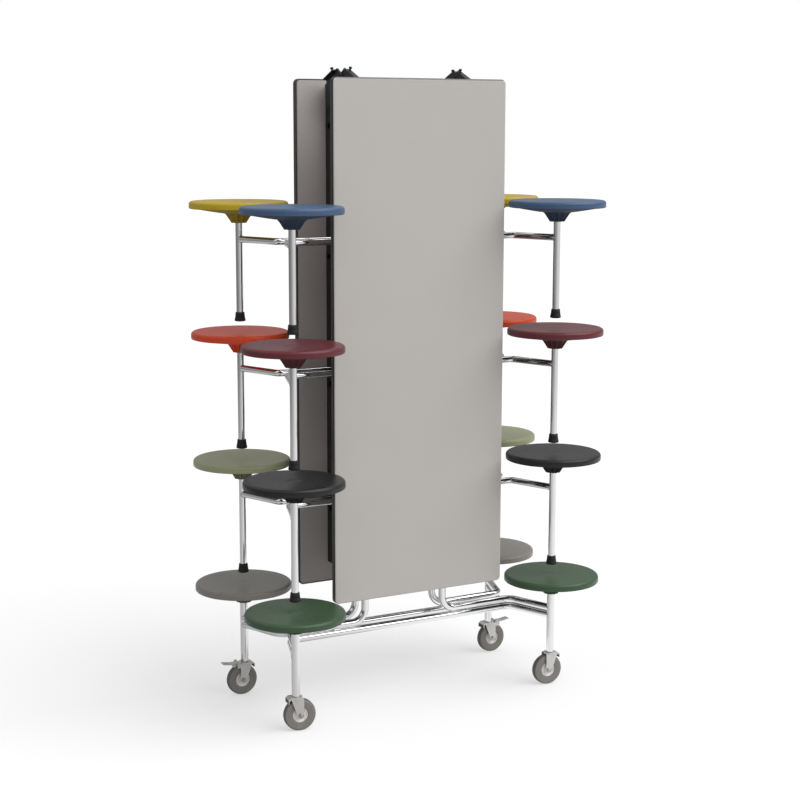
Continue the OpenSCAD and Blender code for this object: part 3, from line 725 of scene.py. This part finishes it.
# Feet: black rubber cups pushed onto the ends of the plain stools' legs, wider at the
# floor than at the top, with two shallow grips round them.
foot_rubber = rubber_finish("foot_rubber", (18, 18, 18), (11, 11, 11), 0.6)
foot_profile = [
    (0.0, 0), (11, 0), (13.6, 0.3), (15.8, 1.1), (17.1, 2.2), (17.4, 3.6), (16.5, 9), (16, 9.5), (15.9, 10.4),
    (16.1, 10.9), (15.6, 14), (15.1, 14.5), (15, 15.4), (15.2, 15.9), (13.9, 28), (13.2, 29.2), (12.2, 29.5),
    (11.1, 29.1), (11.1, 24),
]
for side in ("front", "rear"):
    for level in (2, 3, 4):
        cups = Shape()
        for wing in (-1, 1):
            turned(cups, (wing * leg_x, leg_y, 0), (0, 0, 1), foot_profile, 40)
        add_piece(
            f"{side}_cups_{level}", mirrored_to(raised(cups, level), side), frame_body(side, level),
            [foot_rubber], [f"{side}_feet_{level}"], crease=30,
        )

# Casters: a pressed and galvanised fork on a stem in the leg, painted black at the front of its lip as shade,
# a grey rubber tyre on a pale plastic hub, and a cap nut on the axle. Each trails the way it was last rolled.
fork_steel = metal_finish("fork_steel", (206, 205, 202), (192, 191, 188), 0.4, 0.2, lump=22, metallic=0.55)
fork_lip_painted_shade = rubber_finish("fork_lip_painted_shade", (26, 26, 26), (18, 18, 18), 0.5)
tyre_side = rubber_finish("tyre_side", (134, 130, 125), (122, 118, 113), 0.6, 1.5)
tyre_tread = rubber_finish("tyre_tread", (104, 102, 98), (92, 90, 86), 0.7, 1.2, 0.1)
hub_plastic = rubber_finish("hub_plastic", (240, 238, 237), (232, 230, 229), 0.34, 1.2, 0.03)
wheel_joints = {
    joint["name"].removesuffix("_wheel_spin"): joint
    for joint in frame["joints"] if joint["name"].endswith("_wheel_spin")
}
tyre_half = [
    (23.6, -9.4), (24.4, -11), (26, -11.9), (34, -12), (35, -11.4), (36.4, -11.4), (37.4, -12), (43.4, -12),
    (45.9, -11.5), (47.9, -10.3), (49.2, -8.4), (49.8, -6), (50, -3),
]
tyre_paints = [0] * 9 + [1] * 7 + [0] * 10
hub_half = [
    (4.3, -14.4), (8, -14.4), (8.8, -13.8), (9.2, -12), (10, -7), (11.4, -5.4), (13.4, -4.9), (17, -4.8),
    (19.2, -5.6), (20.2, -8), (20.8, -9.6), (22.6, -10), (23.4, -9.4),
]
nut_profiles = [
    (17.5, 32, [(8, 0), (8, 1), (7.6, 1.3), (0, 1.3)]),
    (18.8, 6, [(7, 0), (7, 2.6), (6.2, 3.2), (0, 3.2)]),
    (22, 20, [(3.6, 0), (3.6, 0.5), (2.8, 1), (0, 1.1)]),
]
shade_x, shade_z = -36, 52


def turned_loop(shape, half, around, paints):
    """A turned form with a hole through it, round the Y axis, its other half like this one."""
    profile, turns = half + [(r, -h) for r, h in reversed(half)], turns_round(around)
    rings = [[(r * math.cos(turn), h, r * math.sin(turn)) for turn in turns] for r, h in profile]
    shape.skin(rings, paints, again=True)


def axle_place(corner):
    """Turns and moves what is drawn round the Y axis, trailing to +X, onto a caster's axle."""
    axle, axis = Vector(wheel_joints[corner]["pos_m"]) * metre, wheel_joints[corner]["axis"]
    return Matrix.Translation(axle) @ Matrix.Rotation(math.atan2(-axis[0], axis[1]), 4, "Z")


def to_axle(shape, corner):
    """Puts a caster's piece on its axle."""
    place = axle_place(corner)
    for point in shape.points:
        point[:] = place @ point
    return shape


for corner in wheel_joints:
    # Faces at the front of each fork's lip are painted black, as painted shade in the wheel well.
    home = axle_place(corner).inverted()
    eased_copy(
        f"{corner}_fork", f"{corner}_swivel_fork", f"{corner}_caster", [fork_steel, fork_lip_painted_shade],
        0.8, dark_if=lambda point, home=home: (home @ point).x < shade_x and (home @ point).z < shade_z,
    )
    tyre = Shape()
    turned_loop(tyre, tyre_half, 96, tyre_paints)
    add_piece(
        f"{corner}_rubber_tyre", to_axle(tyre, corner), f"{corner}_wheel", [tyre_side, tyre_tread],
        [f"{corner}_tyre"], crease=30,
    )
    hub = Shape()
    turned_loop(hub, hub_half, 64, 0)
    add_piece(
        f"{corner}_wheel_hub", to_axle(hub, corner), f"{corner}_wheel", [hub_plastic],
        [f"{corner}_hub"], crease=30,
    )
    nuts = Shape()
    for way in (-1, 1):
        for out, flats, profile in nut_profiles:
            turned(nuts, (0, way * out, 0), (0, way, 0), profile, flats)
    add_piece(
        f"{corner}_axle_nuts", to_axle(nuts, corner), f"{corner}_caster", [zinc], crease=30,
    )

# Brake pedals: pressed steel levers over the two rear wheels, each with a shoe above its
# tyre and with five rounded ridges across its end for grip underfoot.
pedal_steel = metal_finish("pedal_steel", (196, 196, 194), (176, 176, 174), 0.42, 0.25, lump=18, metallic=0.6)
ridge_x, ridge_z, ridge_gap, ridge_rise, ridge_half = 47.5, 59.15, 4.4, 0.634, 9.5
for wing in ("left", "right"):
    corner = f"rear_{wing}"
    brake = f"{corner}_brake"
    eased_copy(f"{corner}_brake_pedal", f"{corner}_brake_lever", brake, [pedal_steel], 0.6)
    ridges = Shape()
    for number in range(5):
        x, z = ridge_x + ridge_gap * number, ridge_z + ridge_rise * number
        line = [(x, y, z) for y in (-ridge_half, 0.5 - ridge_half, ridge_half - 0.5, ridge_half)]
        tube(ridges, line, [0.3, 1.1, 1.1, 0.3], 12)
    add_piece(f"{corner}_pedal_ridges", to_axle(ridges, corner), brake, [pedal_steel])
